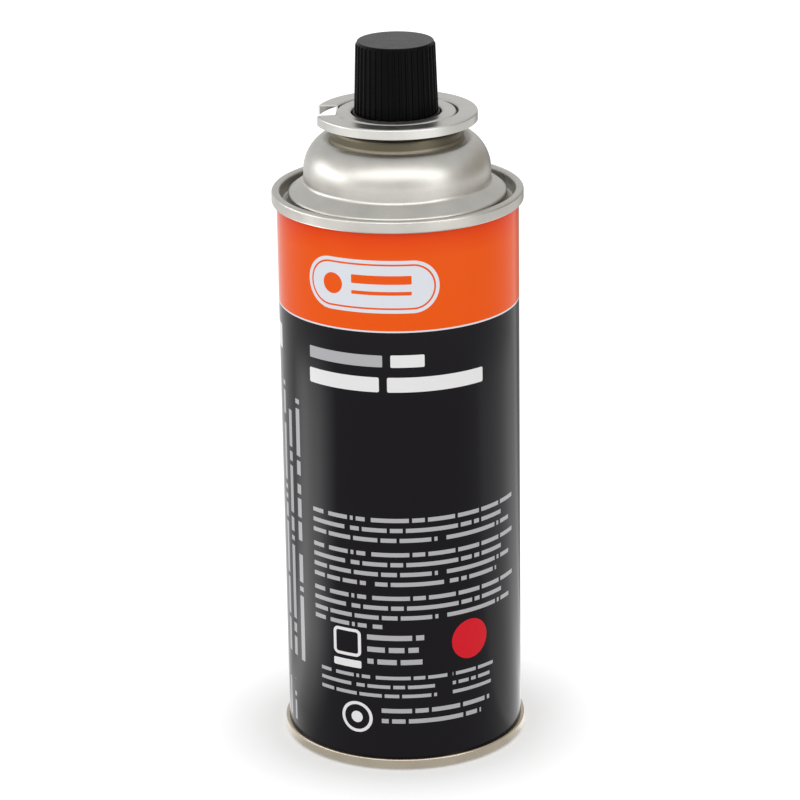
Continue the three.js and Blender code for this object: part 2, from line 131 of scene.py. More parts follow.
# Notched collar
COLLAR_SHEET = 0.45
COLLAR_R = 22.0
COLLAR_TOP_Z = NECK_TOP_Z + 3.06
COLLAR_SKIRT_Z = COLLAR_TOP_Z - 2.71
COLLAR_BORE_R = 16.75
COLLAR_ROUND = 0.6
COLLAR_FOOT_ROUND = 0.25
COLLAR_LIP_R = 15.5
COLLAR_LIP_Z = NECK_TOP_Z + COLLAR_SHEET
NOTCH_OUTER_W = 11.9
NOTCH_INNER_W = 10.6
NOTCH_KERB_Z = COLLAR_LIP_Z + 0.25
NOTCH_AZIMUTH = 179.1
NOTCH_SIDE_FROM = 12.0

# Valve cup
CUP_SHEET = 0.4
CURL_ROUND = 1.0
CURL_R = 16.3
CURL_TOP_Z = BEAD_TOP_Z + 0.7
RECESS_R = 12.1
RECESS_FLOOR_Z = CURL_TOP_Z - 5.5
RECESS_ROUND = 0.8
PEDESTAL_R = 5.6
PEDESTAL_TOP_Z = RECESS_FLOOR_Z + 6.3
PEDESTAL_FOOT_ROUND = 0.5
PEDESTAL_ROUND = 0.6
PEDESTAL_HOLE_R = 2.4
CLINCH_Z = RECESS_FLOOR_Z + 3.2
CLINCH_H = 1.0
CLINCH_SLOPE = 0.5
CLINCH_DEPTH = 0.3

# Valve stem
STEM_R = 2.0
STEM_BORE_R = 0.9
STEM_TIP_ROUND = 0.3
STEM_EDGE_ROUND = 0.15
STEM_TOP_Z = PEDESTAL_TOP_Z + 4.0
STEM_HEAD_R = 2.9
STEM_HEAD_TOP_Z = PEDESTAL_TOP_Z - 1.5
STEM_HEAD_BOTTOM_Z = STEM_HEAD_TOP_Z - 2.6
SPIGOT_R = 1.2
SPIGOT_Z = STEM_HEAD_BOTTOM_Z - 2.3
BORE_FLOOR_Z = PEDESTAL_TOP_Z - 1.6
SPRING_FULLNESS = 0.04

# Cap
CAP_TOP_Z = COLLAR_TOP_Z + 19.1
CAP_FOOT_R = 10.98
CAP_HEAD_R = 10.38
CAP_DISC_ROUND = 0.3
CAP_RING_ROUND = 0.35
CAP_CEILING_ROUND = 0.5
CAP_SHOULDER_H = 0.8
CAP_PLUG_R = 11.2
CAP_RING_R = 11.8
CAP_RING_TOP_Z = CURL_TOP_Z - 0.25
CAP_RING_H = 1.7
CAP_RIB_TOP_Z = CAP_TOP_Z - CAP_SHOULDER_H
CAP_CEILING_Z = CAP_TOP_Z - 1.2
CAP_INNER_FOOT_R = 10.03
CAP_INNER_HEAD_R = 9.43
CAP_OUTSIDE_R = CAP_INNER_FOOT_R + 0.3
RIB_BEVEL_FROM = math.radians(55)
RIB_COUNT = 38
STEPS_PER_RIB = 6
RIB_STEPS_WIDE = 2
RIB_SCALE = 1.0383
RIB_ROUND = 0.24

# Fitted camera: place and range of sight in metres, angles in degrees, lens and sensor in millimetres
CAMERA_PLACE = (0.000268, -0.924434, 0.421250)
CAMERA_TILT = 19.3426
CAMERA_ROLL = -0.8747
CAMERA_YAW = -0.0282
CAMERA_LENS = 158.908
CAMERA_SENSOR = 36
CAMERA_SEES = (0.05, 20)


# Modelling steps

def deselect_all():
    if bpy.context.object and bpy.context.object.mode != "OBJECT":
        bpy.ops.object.mode_set(mode="OBJECT")
    bpy.ops.object.select_all(action="DESELECT")


def enter_edit(piece):
    deselect_all()
    piece.select_set(True)
    bpy.context.view_layer.objects.active = piece
    bpy.ops.object.mode_set(mode="EDIT")


def leave_edit():
    bpy.ops.object.mode_set(mode="OBJECT")


def choose(piece, wanted, kind="verts"):
    """In edit mode, selects the points, edges or faces of the piece for which wanted(element) is true."""
    modes = {"verts": "VERT", "edges": "EDGE", "faces": "FACE"}
    bpy.ops.mesh.select_mode(type=modes[kind])
    bpy.ops.mesh.select_all(action="DESELECT")
    mesh = bmesh.from_edit_mesh(piece.data)
    for element in getattr(mesh, kind):
        if wanted(element):
            element.select = True
    mesh.select_flush_mode()
    bmesh.update_edit_mesh(piece.data)


def draw_section(name, corners):
    """Draws a section in the XZ plane by extruding one point from corner to corner.
    A corner is (r, z) or (r, z, rounding), and a rounded corner is bevelled to an arc."""
    deselect_all()
    bpy.ops.mesh.primitive_plane_add(size=MM)
    piece = bpy.context.object
    piece.name = piece.data.name = name
    enter_edit(piece)
    bpy.ops.mesh.select_mode(type="VERT")
    bpy.ops.mesh.select_all(action="SELECT")
    bpy.ops.mesh.merge(type="CENTER")
    points = [Vector((corner[0], 0, corner[1])) * MM for corner in corners]
    bpy.ops.transform.translate(value=points[0])
    for here, there in zip(points, points[1:]):
        bpy.ops.mesh.extrude_region_move(TRANSFORM_OT_translate={"value": there - here})
    for i, corner in enumerate(corners):
        if len(corner) == 3:
            round_corner(piece, points[i - 1], points[i], points[i + 1], corner[2] * MM)
    return piece


def round_corner(piece, back, corner, ahead, radius):
    """Rounds one corner of the section, by no more than half of its shorter side."""
    half = (back - corner).angle(ahead - corner) / 2
    room = min((back - corner).length, (ahead - corner).length) * ROUNDING_SHARE
    reach = min(radius / math.tan(half), room)
    choose(piece, lambda v: (v.co - corner).length < SAME_POINT)
    bpy.ops.mesh.bevel(offset=reach, offset_type="OFFSET", segments=ROUND_STEPS, affect="VERTICES")


def close_section():
    """Joins the two free ends of the section that is being edited."""
    piece = bpy.context.object
    choose(piece, lambda v: len(v.link_edges) == 1)
    bpy.ops.mesh.edge_face_add()


def spin_section(steps):
    """Turns the section into a surface round the axis, welded where it meets itself."""
    bpy.ops.mesh.select_all(action="SELECT")
    bpy.ops.mesh.spin(steps=steps, angle=2 * math.pi, center=(0, 0, 0), axis=(0, 0, 1))
    bpy.ops.mesh.select_all(action="SELECT")
    bpy.ops.mesh.remove_doubles(threshold=WELD)
    bpy.ops.mesh.normals_make_consistent(inside=False)


def add_modifier(piece, kind, **settings):
    """Adds one modifier with its settings and applies it."""
    modifier = piece.modifiers.new(kind.title(), kind)
    for setting, value in settings.items():
        setattr(modifier, setting, value)
    bpy.context.view_layer.objects.active = piece
    bpy.ops.object.modifier_apply(modifier=modifier.name)


def finish_surface(piece):
    """Smooths the faces, with sharp edges kept."""
    deselect_all()
    piece.select_set(True)
    bpy.context.view_layer.objects.active = piece
    bpy.ops.object.shade_smooth_by_angle(angle=SMOOTH_ANGLE)
    add_modifier(piece, "WEIGHTED_NORMAL", keep_sharp=True)


def turned(name, corners, steps, closed=True):
    """A turned solid: its section is closed on itself, or runs from the axis back to the axis."""
    piece = draw_section(name, corners)
    if closed:
        close_section()
    spin_section(steps)
    leave_edit()
    finish_surface(piece)
    return piece


def pressed(name, corners, steps, sheet, looks_up=True, cut=None):
    """A pressing: the section of its outer face is spun, cut if need be, and thickened inwards."""
    piece = draw_section(name, corners)
    spin_section(steps)
    if (rise_of_faces(piece) > 0) != looks_up:
        bpy.ops.mesh.flip_normals()
    leave_edit()
    if cut:
        cut(piece)
    add_modifier(piece, "SOLIDIFY", thickness=sheet * MM, offset=-1, use_even_offset=True)
    finish_surface(piece)
    return piece


def rise_of_faces(piece):
    """More than 0 if the faces look up on the whole."""
    mesh = bmesh.from_edit_mesh(piece.data)
    return sum(face.calc_area() * face.normal.z for face in mesh.faces)


def arc(centre_r, centre_z, radius, start, end, steps):
    """Points of an arc in a section, in degrees from +r towards +z."""
    points = []
    for i in range(steps + 1):
        angle = math.radians(start + (end - start) * i / steps)
        points.append((centre_r + radius * math.cos(angle), centre_z + radius * math.sin(angle)))
    return points


# Shader building

class Field:
    """A number that varies over a surface: sums written with it add Math nodes."""

    def __init__(self, finish, socket):
        self.finish = finish
        self.socket = socket

    def math(self, operation, *values):
        made = self.finish.node("ShaderNodeMath", {"operation": operation}, dict(enumerate(values)))
        return Field(self.finish, made.outputs[0])

    def __add__(self, other):
        return self.math("ADD", self, other)

    def __radd__(self, other):
        return self.math("ADD", other, self)

    def __sub__(self, other):
        return self.math("SUBTRACT", self, other)

    def __rsub__(self, other):
        return self.math("SUBTRACT", other, self)

    def __mul__(self, other):
        return self.math("MULTIPLY", self, other)

    def __rmul__(self, other):
        return self.math("MULTIPLY", other, self)

    def __truediv__(self, other):
        return self.math("DIVIDE", self, other)

    def __lt__(self, other):
        return self.math("LESS_THAN", self, other)

    def __gt__(self, other):
        return self.math("GREATER_THAN", self, other)

    def __abs__(self):
        return self.math("ABSOLUTE", self)

    def root(self):
        return self.math("SQRT", self)

    def either(self, other):
        return self.math("MAXIMUM", self, other)

    def whole(self):
        return self.math("FLOOR", self)

    def fraction(self):
        return self.math("FRACT", self)

    def around(self, other):
        return self.math("ARCTAN2", self, other)


class Finish:
    """One material, with one method that adds any node."""

    def __init__(self, name):
        self.material = bpy.data.materials.new(name)
        self.material.use_nodes = True
        self.tree = self.material.node_tree
        self.tree.nodes.clear()
        place = self.node("ShaderNodeTexCoord").outputs["Object"]
        self.place = place
        parts = self.node("ShaderNodeSeparateXYZ", inputs={0: place})
        self.x, self.y, self.z = (Field(self, socket) for socket in parts.outputs)

    def node(self, kind, settings=None, inputs=None):
        made = self.tree.nodes.new(kind)
        for setting, value in (settings or {}).items():
            setattr(made, setting, value)
        for key, value in (inputs or {}).items():
            socket = value.socket if isinstance(value, Field) else value
            if isinstance(socket, bpy.types.NodeSocket):
                self.tree.links.new(socket, made.inputs[key])
            else:
                made.inputs[key].default_value = value
        return made

    def noise(self, scale, detail=2.0, place=None):
        made = self.node("ShaderNodeTexNoise", inputs={
            "Vector": place or self.place, "Scale": scale, "Detail": detail})
        return Field(self, made.outputs[0])

    def from_axis(self):
        return (self.x * self.x + self.y * self.y).root()

    def bearing(self):
        """The angle round the axis in radians, 0 at the front and growing towards the right."""
        return self.x.around(0 - self.y)

    def window(self, value, low, low_full, high_full, high):
        """1 between low_full and high_full, falling to 0 at low and at high."""
        return self.ramp(value, low, low_full) * self.ramp(value, high, high_full)

    def along_ring(self, per_turn, per_metre):
        """Coordinates that run round the axis, so that a grain follows the spun sheet."""
        turn = self.x.around(self.y)
        made = self.node("ShaderNodeCombineXYZ", inputs={
            0: self.from_axis() * per_metre, 1: turn * per_turn, 2: self.z * per_metre})
        return made.outputs[0]

    def ramp(self, value, low, high, from_value=0.0, to_value=1.0):
        made = self.node("ShaderNodeMapRange", {"clamp": True}, {
            "Value": value, "From Min": low, "From Max": high, "To Min": from_value, "To Max": to_value})
        return Field(self, made.outputs[0])

    def colours(self, share, first, second):
        made = self.node("ShaderNodeMix", {"data_type": "RGBA"}, {0: share})
        for index, colour in ((6, first), (7, second)):
            if isinstance(colour, bpy.types.NodeSocket):
                self.tree.links.new(colour, made.inputs[index])
            else:
                made.inputs[index].default_value = (*colour, 1)
        return made.outputs[2]

    def bump(self, height, strength, relief):
        """Makes the surface look uneven by a relief in millimetres."""
        made = self.node("ShaderNodeBump", inputs={
            "Height": height, "Strength": strength, "Distance": relief * MM})
        return made.outputs["Normal"]

    def surface(self, **values):
        names = {name.replace("_", " "): value for name, value in values.items()}
        for name, value in names.items():
            if isinstance(value, tuple) and len(value) == 3:
                names[name] = (*value, 1)
        shader = self.node("ShaderNodeBsdfPrincipled", inputs=names)
        self.node("ShaderNodeOutputMaterial", inputs={"Surface": shader.outputs[0]})
        return self.material


# Finishes

NOISE_RANGE = (0.3, 0.7)
DOME_TIN = (0.53, 0.515, 0.48)
SEAM_TIN = (0.50, 0.44, 0.35)
COLLAR_TIN = (0.58, 0.57, 0.54)
# Painted light on the neck: a tan painted reflection of the dome below, darkening upwards into a painted
# shadow of the collar
NECK_PAINTED_REFLECTION_TAN = (0.52, 0.47, 0.37)
NECK_SHADE = (0.112, 0.099, 0.070)
TIN_SHADES = (0.88, 1.06)
TIN_ROUGHER = (-0.05, 0.06)
PAINTED_NECK_EDGE_R = (NECK_R + 0.5, NECK_R + 0.1)
PAINTED_NECK_FROM_Z = CREST_Z - 1.6
PAINTED_NECK_FULL_Z = PAINTED_NECK_FROM_Z + 0.5
SHADE_FROM_Z = CREST_Z - 0.2
SHADE_FULL_Z = CREST_Z + 0.6


def tinplate(name, colour, roughness, grain=0.12, painted_neck_shade=0.0):
    """Bare satin tinplate: fine grain round the axis, faint clouds and a few dull specks.
    The neck under the collar gets a painted shadow of the collar over a painted tan reflection of the dome,
    as much as the last argument asks."""
    finish = Finish(name)
    streaks = finish.noise(1.0, 3.0, finish.along_ring(60, 9000))
    clouds = finish.noise(160.0, 3.0)
    specks = finish.noise(2600.0, 1.0)
    tone = finish.ramp(clouds * 0.6 + streaks * 0.4, *NOISE_RANGE)
    dark, light = (tuple(c * shade for c in colour) for shade in TIN_SHADES)
    tin = finish.colours(tone, dark, light)
    up = finish.z / MM
    on_neck = finish.ramp(finish.from_axis() / MM, *PAINTED_NECK_EDGE_R)
    on_neck = finish.ramp(up, PAINTED_NECK_FROM_Z, PAINTED_NECK_FULL_Z) * on_neck
    # Painted reflection and painted shadow on the neck: tan low down, dark under the collar
    painted_neck = finish.colours(finish.ramp(up, SHADE_FROM_Z, SHADE_FULL_Z), NECK_PAINTED_REFLECTION_TAN, NECK_SHADE)
    dullness = clouds * 0.5 + specks * 0.5
    return finish.surface(
        Base_Color=finish.colours(on_neck * painted_neck_shade, tin, painted_neck),
        Metallic=1.0,
        Roughness=finish.ramp(dullness, *NOISE_RANGE, *(roughness + more for more in TIN_ROUGHER)),
        Normal=finish.bump(streaks * 0.5 + specks * 0.5, grain, 0.04))


# Colours of the lacquer and the print
ORANGE = (0.86, 0.096, 0.001)
# Painted reflection: a deeper orange for the top of the band, where the lacquer mirrors a dark surround
ORANGE_IN_DARK_REFLECTION = (0.82, 0.055, 0.001)
INK_BLACK = (0.0062, 0.0050, 0.0070)
PALE_INK = (0.74, 0.77, 0.82)
GREY_INK = (0.44, 0.44, 0.46)
WHITE_INK = (0.80, 0.80, 0.80)
RED_INK = (0.66, 0.010, 0.022)
BARE_TIN = (0.50, 0.49, 0.46)
ORANGE_FROM_Z = 127.4
# Where the painted dark reflection in the orange starts and is full, and how far clouds bend its edge
DARK_REFLECTION_FROM_Z = 149.0
DARK_REFLECTION_FULL_Z = 155.5
BAND_LINE = 0.45
SIDE_SEAM_W = 3.5
SIDE_LAP = 0.6
SIDE_LAP_HALF_W = 0.1
DARK_REFLECTION_WAVE = 3.0
LACQUER_ROUGHNESS = (0.10, 0.15)
BARE_ROUGHER = 0.22

# Where the print is, in millimetres across from the front, to the right, and up from the floor.
# Blocks of dashes: left, right, top, rows, pitch, inked share of the pitch
DASH_BLOCKS = (
    (-27.4, 38.0, 74.2, 3, 2.9, 0.42),
    (-27.4, 38.0, 64.2, 4, 2.9, 0.42),
    (-27.4, 38.0, 51.4, 3, 2.9, 0.42),
    (-27.4, -6.0, 42.9, 1, 2.9, 0.42),
    (-10.4, 5.5, 39.8, 3, 3.6, 0.42),
    (-25.4, 12.0, 27.6, 3, 2.7, 0.38),
    (-6.6, 26.0, 17.9, 2, 3.1, 0.42),
    (13.6, 27.6, 27.6, 3, 2.7, 0.38),
)
# Blocks of upright dashes: bottom, top, left, rows, pitch, inked share of the pitch
UPRIGHT_BLOCKS = (
    (26.0, 107.0, -44.0, 3, 4.6, 0.42),
    (6.0, 19.0, -49.0, 3, 4.4, 0.3),
)
# Boxes: left, right, bottom, top, rounding
GREY_BAR = (-27.2, -4.8, 117.5, 120.8, 0.3)
WHITE_BARS = (
    (-2.6, 6.6, 117.4, 120.9, 0.4),
    (-27.4, -5.8, 110.4, 114.6, 0.5),
    (-3.6, 24.3, 110.4, 114.6, 0.5),
    (-58.0, -44.0, 115.0, 122.0, 0.5),
    (-20.8, -12.2, 29.3, 31.5, 0.4),
)
BADGE = (-26.6, 11.0, 132.6, 147.2, 7.3)
BADGE_BARS = (
    (-13.0, 3.4, 140.6, 143.0, 0.3),
    (-13.0, 3.4, 137.6, 138.6, 0.2),
)
# Frames: as a box, then the width of the line
BADGE_RING = (-25.6, 10.0, 133.6, 146.2, 6.3, 0.5)
SQUARE_FRAME = (-20.8, -12.2, 32.6, 40.8, 1.6, 0.9)
ROUND_FRAME = (-18.4, -9.2, 10.0, 19.2, 4.6, 0.9)
# Discs: across, up, radius
BADGE_DISC = (-18.6, 139.9, 2.9)
ROUND_FRAME_DISC = (-13.8, 14.6, 1.7)
RED_DISC = (19.3, 36.5, 5.8)
# Rows of dashes end raggedly, and are cut into dashes at random
RAGGED_SHARE = 0.16
RAGGED_STEP = 0.61
DASH_CELL = 0.3
GAP_CHANCE = 0.16


class Print:
    """Masks for the print, drawn in millimetres across the unrolled body from the front, and up."""

    def __init__(self, finish):
        self.finish = finish
        self.across = finish.bearing() * BODY_R
        self.up = finish.z / MM

    def rounded_distance(self, left, right, low, high, rounding):
        dx = (abs(self.across - (left + right) / 2) - ((right - left) / 2 - rounding)).either(0.0)
        dz = (abs(self.up - (low + high) / 2) - ((high - low) / 2 - rounding)).either(0.0)
        return (dx * dx + dz * dz).root() - rounding

    def box(self, left, right, low, high, rounding):
        return self.rounded_distance(left, right, low, high, rounding) < 0.0

    def frame(self, left, right, low, high, rounding, line):
        middle = self.rounded_distance(left, right, low, high, rounding) + line / 2
        return abs(middle) < line / 2

    def disc(self, across, up, radius):
        return self.box(across - radius, across + radius, up - radius, up + radius, radius)

    def dashes(self, left, right, top, *rows_and_weight):
        return self.dashes_along(self.across, left, right, top - self.up, *rows_and_weight)

    def upright_dashes(self, bottom, top, left, *rows_and_weight):
        return self.dashes_along(self.up, bottom, top, self.across - left, *rows_and_weight)

    def dashes_along(self, along, start, end, down, rows, pitch, weight):
        """Rows of plain dashes with ragged ends. Down is the distance from the first row's edge."""
        place = down / pitch
        row = place.whole()
        inked = (place - row) < weight
        ragged = (row * RAGGED_STEP).fraction() * RAGGED_SHARE
        inside = (along > start) * (along < end - (end - start) * ragged)
        inside = inside * (place > 0.0) * (place < float(rows))
        cell = (along / (pitch * DASH_CELL)).whole()
        seed = self.finish.node("ShaderNodeCombineXYZ", inputs={0: cell, 1: row})
        chance = self.finish.node(
            "ShaderNodeTexWhiteNoise", {"noise_dimensions": "2D"}, {0: seed.outputs[0]})
        return inked * inside * (Field(self.finish, chance.outputs[0]) > GAP_CHANCE)


def any_of(masks):
    """The masks laid over each other."""
    total = masks[0]
    for mask in masks[1:]:
        total = total.either(mask)
    return total


def lacquer():
    """Glossy lacquer: an orange band over black, printed with plain bars, dashes, frames and discs.
    At the back the welded side seam is bare."""
    finish = Finish("body_lacquer")
    mark = Print(finish)
    texture = finish.noise(900.0, 2.0)
    clouds = finish.noise(40.0, 2.0)
    # Painted reflection: the orange darkens towards the top seam
    dark_reflection = finish.ramp(mark.up + clouds * DARK_REFLECTION_WAVE, DARK_REFLECTION_FROM_Z, DARK_REFLECTION_FULL_Z)
    orange = finish.colours(dark_reflection, ORANGE, ORANGE_IN_DARK_REFLECTION)
    from_band = mark.up - ORANGE_FROM_Z
    colour = finish.colours(from_band > 0.0, INK_BLACK, orange)
    colour = finish.colours(abs(from_band) < BAND_LINE / 2, colour, PALE_INK)

    grey = [mark.box(*GREY_BAR)]
    grey += [mark.dashes(*block) for block in DASH_BLOCKS]
    grey += [mark.upright_dashes(*block) for block in UPRIGHT_BLOCKS]
    colour = finish.colours(any_of(grey), colour, GREY_INK)
    white = [mark.box(*bar) for bar in WHITE_BARS]
    white += [mark.frame(*SQUARE_FRAME), mark.frame(*ROUND_FRAME), mark.disc(*ROUND_FRAME_DISC)]
    colour = finish.colours(any_of(white), colour, WHITE_INK)

    badge = mark.box(*BADGE)
    cut = any_of([mark.frame(*BADGE_RING), mark.disc(*BADGE_DISC)] + [mark.box(*bar) for bar in BADGE_BARS])
    colour = finish.colours(badge, colour, PALE_INK)
    colour = finish.colours(badge * cut, colour, ORANGE)
    colour = finish.colours(mark.disc(*RED_DISC), colour, RED_INK)

    to_back = math.pi * BODY_R - abs(mark.across)
    bare = to_back < SIDE_SEAM_W
    lap = abs(to_back - SIDE_LAP) < SIDE_LAP_HALF_W
    return finish.surface(
        Base_Color=finish.colours(bare, colour, BARE_TIN),
        Metallic=bare,
        Specular_IOR_Level=0.12,
        Roughness=finish.ramp(clouds, *NOISE_RANGE, *LACQUER_ROUGHNESS) + bare * BARE_ROUGHER,
        Normal=finish.bump(texture - lap * 2.0, 0.06, 0.03))


# Colours of the plastics, the rubber and the wire, each a darker and a lighter one
CAP_BLACKS = ((0.0006, 0.0006, 0.0009), (0.0014, 0.0014, 0.0017))
# Painted sheen: the grey painted on the cap's flat top, and the heights over which it fades in
CAP_TOP_PAINTED_SHEEN = (0.029, 0.029, 0.030)
CAP_SHEEN_Z = (CAP_TOP_Z - 0.12, CAP_TOP_Z - 0.02)
ACETAL_WHITES = ((0.80, 0.78, 0.72), (0.86, 0.85, 0.80))
RUBBER_BLACKS = ((0.012, 0.012, 0.013), (0.02, 0.02, 0.021))
WIRE_GREYS = ((0.45, 0.46, 0.48), (0.58, 0.59, 0.61))


def cap_plastic():
    """Black moulded plastic with a fine spark-eroded grain; the flat top is painted greyer, a painted sheen
    of the light it mirrors.
    """
    finish = Finish("cap_plastic")
    grain = finish.noise(5200.0, 2.0)
    clouds = finish.noise(220.0, 2.0)
    black = finish.colours(finish.ramp(clouds, *NOISE_RANGE), *CAP_BLACKS)
    # Painted sheen: the flat top is painted lighter than the black sides
    disc = finish.ramp(finish.z / MM, *CAP_SHEEN_Z)
    return finish.surface(
        Base_Color=finish.colours(disc, black, CAP_TOP_PAINTED_SHEEN),
        Metallic=0.0,
        Specular_IOR_Level=0.06,
        Roughness=finish.ramp(clouds, *NOISE_RANGE, 0.25, 0.31),
        Normal=finish.bump(grain, 0.35, 0.06))


def acetal():
    """Natural acetal: the stem, the housing and the vapour tube."""
    finish = Finish("acetal")
    clouds = finish.noise(500.0, 2.0)
    return finish.surface(
        Base_Color=finish.colours(clouds, *ACETAL_WHITES),
        Metallic=0.0,
        Roughness=finish.ramp(clouds, *NOISE_RANGE, 0.35, 0.45),
        Subsurface_Weight=0.1,
        Normal=finish.bump(clouds, 0.1, 0.03))


def rubber():
    """Dull moulded rubber: the gaskets."""
    finish = Finish("gasket_rubber")
    dust = finish.noise(1500.0, 3.0)
    return finish.surface(
        Base_Color=finish.colours(dust, *RUBBER_BLACKS),
        Metallic=0.0,
        Roughness=finish.ramp(dust, *NOISE_RANGE, 0.7, 0.85),
        Normal=finish.bump(dust, 0.3, 0.04))


def spring_wire():
    """Drawn stainless wire."""
    finish = Finish("spring_wire")
    drawn = finish.noise(3000.0, 2.0)
    return finish.surface(
        Base_Color=finish.colours(drawn, *WIRE_GREYS),
        Metallic=1.0,
        Roughness=finish.ramp(drawn, *NOISE_RANGE, 0.22, 0.34),
        Normal=finish.bump(drawn, 0.1, 0.02))


# Pieces

def place_piece(piece, body, slot, material, *nodes):
    """Gives a finished piece its material and its body, and hides the CAD nodes that it replaces. The slot
    argument is not used.
    """
    piece.data.materials.clear()
    piece.data.materials.append(material)
    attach(piece, body)
    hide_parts(*nodes)


def make_body():
    """The rolled wall, whose ends lie inside the seams."""
    inner_r = BODY_R - BODY_SHEET
    low = BASE_SEAM_H - BODY_LAP
    high = CAN_H - TOP_SEAM_H + BODY_LAP
    corners = [(inner_r, low), (BODY_R, low), (BODY_R, high), (inner_r, high)]
    return turned("body_wall", corners, CAN_STEPS)


def make_dome():
    """The top end: seam, groove, shelf, a dome of two arcs that meet at a tangent, neck and mouth bead."""
    seam_inner_r = TOP_SEAM_R - SEAM_W
    seam_z = CAN_H - TOP_SEAM_H
    bulb_centre_r = BULB_R - BULB_ARC_R
    join = math.asin((CREST_Z - BULB_CENTRE_Z - CREST_ARC_R) / (BULB_ARC_R - CREST_ARC_R))
    crest_r = bulb_centre_r + (BULB_ARC_R - CREST_ARC_R) * math.cos(join)
    crease = math.degrees(math.acos((NECK_R - crest_r) / CREST_ARC_R))
    join = math.degrees(join)
    corners = [
        (BODY_R + SEAM_GAP, seam_z),
        (TOP_SEAM_R, seam_z, SEAM_FOOT_ROUND),
        (TOP_SEAM_R, CAN_H, SEAM_ROUND),
        (seam_inner_r, CAN_H, SEAM_ROUND),
        (seam_inner_r - COUNTERSINK_LEAN, GROOVE_FLOOR_Z, COUNTERSINK_ROUND),
        (GROOVE_INNER_R, GROOVE_FLOOR_Z, COUNTERSINK_ROUND),
        (GROOVE_INNER_R, SHELF_EDGE_Z, SHELF_ROUND),
        (BULB_R, SHELF_EDGE_Z + SHELF_RISE, DOME_FOOT_ROUND),
        *arc(bulb_centre_r, BULB_CENTRE_Z, BULB_ARC_R, 0, join, BULB_STEPS),
        *arc(crest_r, CREST_Z - CREST_ARC_R, CREST_ARC_R, join, crease, CREST_STEPS)[1:],
        (NECK_WAIST_R, NECK_TOP_Z - NECK_WAIST_H, NECK_WAIST_ROUND),
        (NECK_SHOULDER_R, NECK_TOP_Z, NECK_SHOULDER_ROUND),
        (BEAD_R, NECK_TOP_Z),
        (BEAD_R, BEAD_TOP_Z, BEAD_ROUND),
        (MOUTH_R, BEAD_TOP_Z, BEAD_ROUND),
        (MOUTH_R, BEAD_TOP_Z - MOUTH_DEPTH),
    ]
    return pressed("dome_end", corners, CAN_STEPS, END_SHEET)


def make_base():
    """The bottom end: seam and a panel that bulges inwards."""
    inner_r = BASE_SEAM_R - SEAM_W
    panel_r = (BASE_PANEL_R ** 2 + BASE_PANEL_RISE ** 2) / (2 * BASE_PANEL_RISE)
    half = math.degrees(math.asin(BASE_PANEL_R / panel_r))
    panel = arc(0, BASE_WALL_H + BASE_PANEL_RISE - panel_r, panel_r, 90 - half, 90, PANEL_STEPS)
    panel[-1] = (0, panel[-1][1])
    corners = [
        (BODY_R + SEAM_GAP, BASE_SEAM_H),
        (BASE_SEAM_R, BASE_SEAM_H, BASE_SEAM_TOP_ROUND),
        (BASE_SEAM_R, 0, SEAM_ROUND),
        (inner_r, 0, SEAM_FOOT_ROUND),
        (inner_r - COUNTERSINK_LEAN, BASE_WALL_H, COUNTERSINK_ROUND),
        *panel,
    ]
    return pressed("base_end", corners, CAN_STEPS, END_SHEET, looks_up=False)


def notch_half_width(distance):
    """Half of the notch's width at a distance from the axis."""
    share = (distance - COLLAR_BORE_R) / (COLLAR_R - COLLAR_BORE_R)
    return (NOTCH_INNER_W + (NOTCH_OUTER_W - NOTCH_INNER_W) * share) / 2


def cut_notch(piece):
    """Cuts the notch: the sheet is bisected along its sides, then the faces between them are deleted."""
    turn = Matrix.Rotation(math.radians(NOTCH_AZIMUTH), 3, "Z")
    near = notch_half_width(COLLAR_BORE_R) * MM
    far = notch_half_width(COLLAR_R) * MM
    lean = math.atan2(far - near, (COLLAR_R - COLLAR_BORE_R) * MM)

    def in_notch(face):
        local = turn.inverted() @ face.calc_center_median()
        if local.x < 0:
            return False
        inside = abs(local.y) < near + (local.x - COLLAR_BORE_R * MM) * math.tan(lean)
        skirt = local.x > (COLLAR_BORE_R + COLLAR_R) / 2 * MM
        return inside and (skirt or local.z > NOTCH_KERB_Z * MM)

    def on_notch_side(face):
        return (turn.inverted() @ face.calc_center_median()).x > NOTCH_SIDE_FROM * MM

    enter_edit(piece)
    for side in (-1, 1):
        choose(piece, on_notch_side, "faces")
        on_plane = turn @ Vector((COLLAR_BORE_R * MM, side * near, 0))
        normal = turn @ Vector((-math.sin(lean), side * math.cos(lean), 0))
        bpy.ops.mesh.bisect(plane_co=on_plane, plane_no=normal)
    choose(piece, on_notch_side, "faces")
    bpy.ops.mesh.bisect(plane_co=(0, 0, NOTCH_KERB_Z * MM), plane_no=(0, 0, 1))
    choose(piece, in_notch, "faces")
    bpy.ops.mesh.delete(type="FACE")
    leave_edit()


def make_collar():
    """The notched flange with its lip under the cup's curl and its turned-down skirt."""
    corners = [
        (COLLAR_LIP_R, COLLAR_LIP_Z),
        (COLLAR_BORE_R, COLLAR_LIP_Z, COLLAR_FOOT_ROUND),
        (COLLAR_BORE_R, COLLAR_TOP_Z, COLLAR_ROUND),
        (COLLAR_R, COLLAR_TOP_Z, COLLAR_ROUND),
        (COLLAR_R, COLLAR_SKIRT_Z),
    ]
    return pressed("collar_pressing", corners, CAN_STEPS, COLLAR_SHEET, cut=cut_notch)


